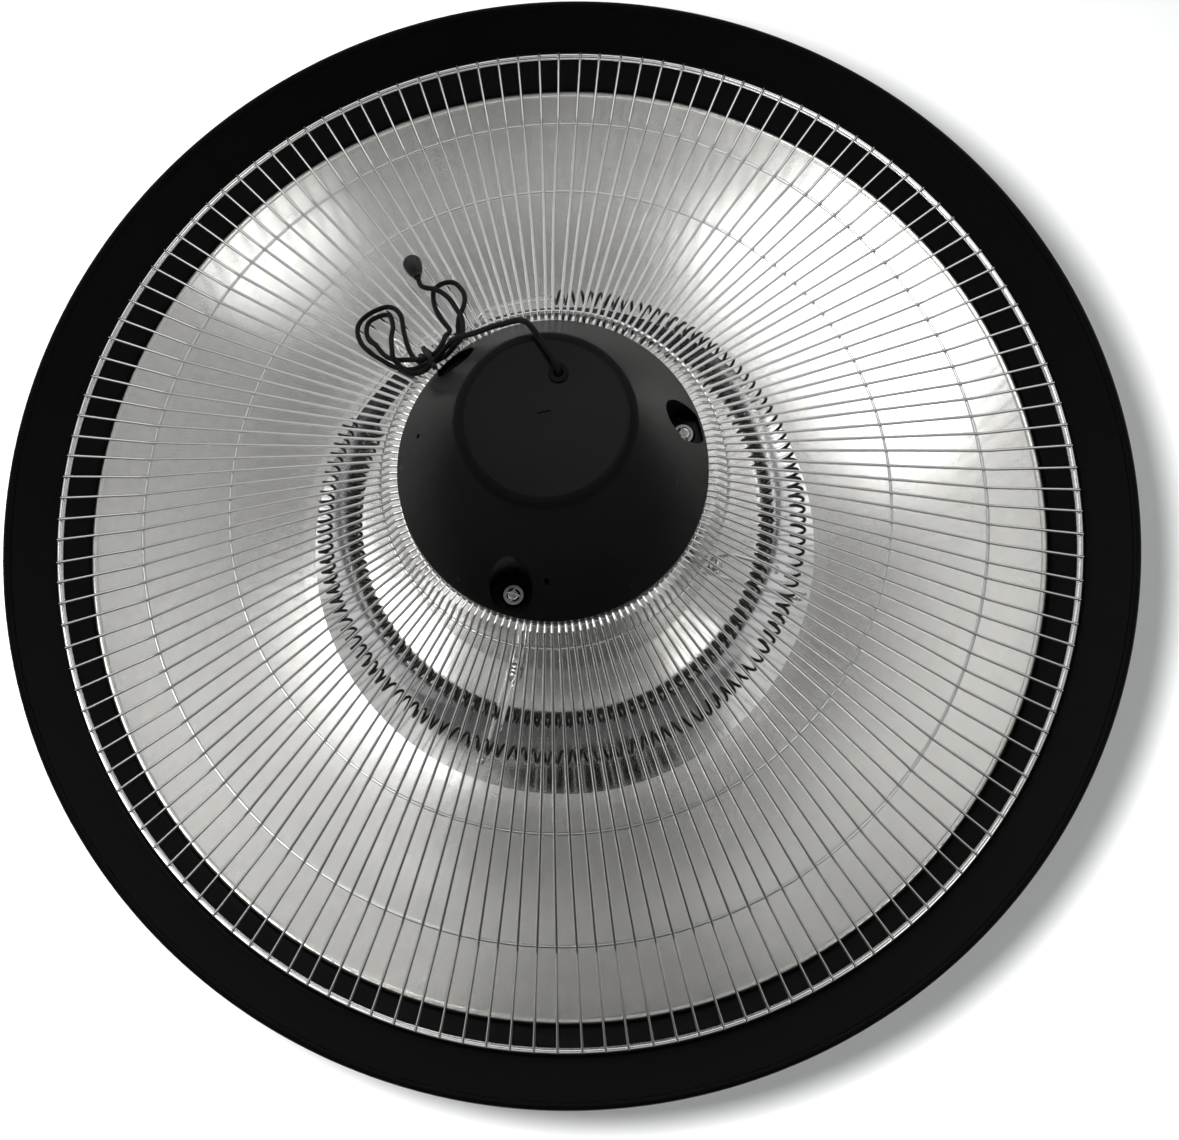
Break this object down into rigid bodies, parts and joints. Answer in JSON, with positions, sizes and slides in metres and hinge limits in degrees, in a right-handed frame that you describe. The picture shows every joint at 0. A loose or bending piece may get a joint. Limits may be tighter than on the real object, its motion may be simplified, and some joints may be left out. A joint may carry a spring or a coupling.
{
  "type": "ceiling radiant heater",
  "caption": "Round ceiling radiant heater: dark metal shade, dish reflector, ring quartz elements under a conical wire guard, and a conical hub with a pull cord switch.",
  "frame": {"origin": "bearing point inside the top of the hanging eye, on the heater's axis", "axes": "+Z up along the axis, so the heater faces -Z; seen from below as in the picture, +X points right and -Y points up in the picture"},
  "size_m": [0.425, 0.425, 0.258],
  "materials": {
    "black_enamel": "satin black enamel",
    "bright_wire": "bright plated wire",
    "bright_steel": "bright plated steel",
    "zinc_steel": "zinc-plated steel",
    "dish_aluminium": "satin spun aluminium",
    "polished_aluminium": "polished spun aluminium",
    "quartz": "clear quartz",
    "resistance_wire": "oxidised dark resistance wire",
    "ceramic": "white glazed ceramic",
    "black_plastic": "matt black plastic",
    "ivory_plastic": "ivory phenolic",
    "black_cord": "black braid",
    "knob_plastic": "gloss black plastic",
    "brass_screws": "plain brass"
  },
  "bodies": {
    "heater": {"hanging_eye": "bright_steel", "eye_washer": "zinc_steel", "eye_nut": "zinc_steel", "top_cap": "black_enamel", "cable_gland": "black_plastic", "gland_dome": "black_plastic", "gland_nut": "black_plastic", "shade": "black_enamel", "terminal_block": "ivory_plastic", "terminal_screws": "brass_screws", "support_posts": "zinc_steel", "post_screws": "zinc_steel", "outer_reflector": "dish_aluminium", "inner_reflector": "polished_aluminium", "outer_tube": "quartz", "inner_tube": "quartz", "outer_coil": "resistance_wire", "inner_coil": "resistance_wire", "element_leads": "zinc_steel", "end_sockets": "ceramic", "tube_clips": "bright_steel", "clip_screws": "bright_steel", "guard_ring": "bright_wire", "guard_cross_rings": "bright_wire", "guard_bars": "bright_wire", "hub_plate": "zinc_steel", "hub_cover": "black_enamel", "cup_washers": "bright_steel", "hub_screws": "bright_steel", "switch_housing": "ivory_plastic", "switch_screws": "zinc_steel", "cord_bush": "black_plastic"},
    "pull": {"switch_plunger": "ivory_plastic", "pull_cord": "black_cord", "cord_tie": "black_plastic", "pull_knob": "knob_plastic"}
  },
  "joints": [
    {"name": "cord_pull", "type": "slide", "parent": "heater", "child": "pull", "axis": [0, 0, -1], "range_m": [0, 0.008], "stiffness_N_per_m": 600, "springref_m": -0.006}
  ]
}
